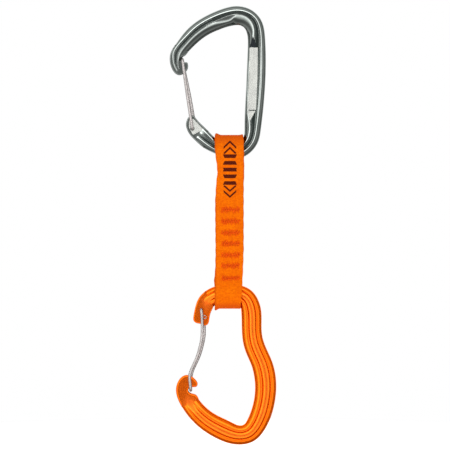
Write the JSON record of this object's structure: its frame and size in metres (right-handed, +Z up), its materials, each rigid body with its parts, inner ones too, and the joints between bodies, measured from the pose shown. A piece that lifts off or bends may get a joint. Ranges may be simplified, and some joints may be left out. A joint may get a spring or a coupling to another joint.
{
  "type": "climbing quickdraw",
  "caption": "Sewn webbing sling with a D-shaped wiregate carabiner above and a pear-shaped bent-wiregate carabiner below.",
  "frame": {"origin": "inside of the upper carabiner's top bend, where it hangs, in the mid-plane", "axes": "+Z up along the hanging quickdraw, +Y through the carabiners' faces, gates on the -X side"},
  "size_m": [0.0735, 0.022, 0.3026],
  "materials": {
    "grey_metal": "polished grey anodised",
    "orange_metal": "polished orange anodised",
    "wire_steel": "bright stainless wire",
    "webbing": "woven polyamide webbing",
    "thread": "bartack thread"
  },
  "bodies": {
    "upper_carabiner": {"upper_carabiner_body": "grey_metal", "upper_gate_rear_tip": "wire_steel"},
    "upper_gate": {"upper_gate_wire": "wire_steel"},
    "upper_loop": {"sling_upper_loop": "webbing"},
    "sling_upper": {"sling_upper_front_layer": "webbing", "sling_upper_lapped_end": "webbing", "sling_upper_back_layer": "webbing", "bartack_1": "thread", "bartack_2": "thread", "bartack_3": "thread"},
    "sling_lower": {"sling_lower_front_layer": "webbing", "sling_lower_lapped_end": "webbing", "sling_lower_back_layer": "webbing", "bartack_4": "thread", "bartack_5": "thread", "bartack_6": "thread", "bartack_7": "thread"},
    "lower_carabiner": {"lower_carabiner_body": "orange_metal", "lower_gate_rear_tip": "wire_steel", "sling_lower_loop": "webbing"},
    "lower_gate": {"lower_gate_wire": "wire_steel"}
  },
  "joints": [
    {"name": "upper_gate_pivot", "type": "hinge", "parent": "upper_carabiner", "child": "upper_gate", "pos_m": [-0.0308, 0, -0.0716], "axis": [0, 1, 0], "range_deg": [0, 29], "stiffness_Nm_per_rad": 0.2, "springref_deg": -28.65},
    {"name": "upper_loop_tilt", "type": "hinge", "parent": "upper_carabiner", "child": "upper_loop", "pos_m": [-0.0054, 0, -0.0715], "axis": [0, 1, 0], "range_deg": [-8, 25]},
    {"name": "sling_swing", "type": "hinge", "parent": "upper_loop", "child": "sling_upper", "pos_m": [-0.0051, 0, -0.0868], "axis": [1, 0, 0], "range_deg": [-90, 90]},
    {"name": "sling_twist", "type": "hinge", "parent": "sling_upper", "child": "sling_lower", "pos_m": [-0.0051, 0, -0.1473], "axis": [0, 0, 1], "range_deg": [-90, 90], "stiffness_Nm_per_rad": 0.01},
    {"name": "lower_carabiner_swing", "type": "hinge", "parent": "sling_lower", "child": "lower_carabiner", "pos_m": [-0.0051, 0, -0.1863], "axis": [1, 0, 0], "range_deg": [-80, 80]},
    {"name": "lower_gate_pivot", "type": "hinge", "parent": "lower_carabiner", "child": "lower_gate", "pos_m": [-0.0246, 0, -0.1963], "axis": [0, -1, 0], "range_deg": [0, 29], "stiffness_Nm_per_rad": 0.2, "springref_deg": -28.65}
  ]
}
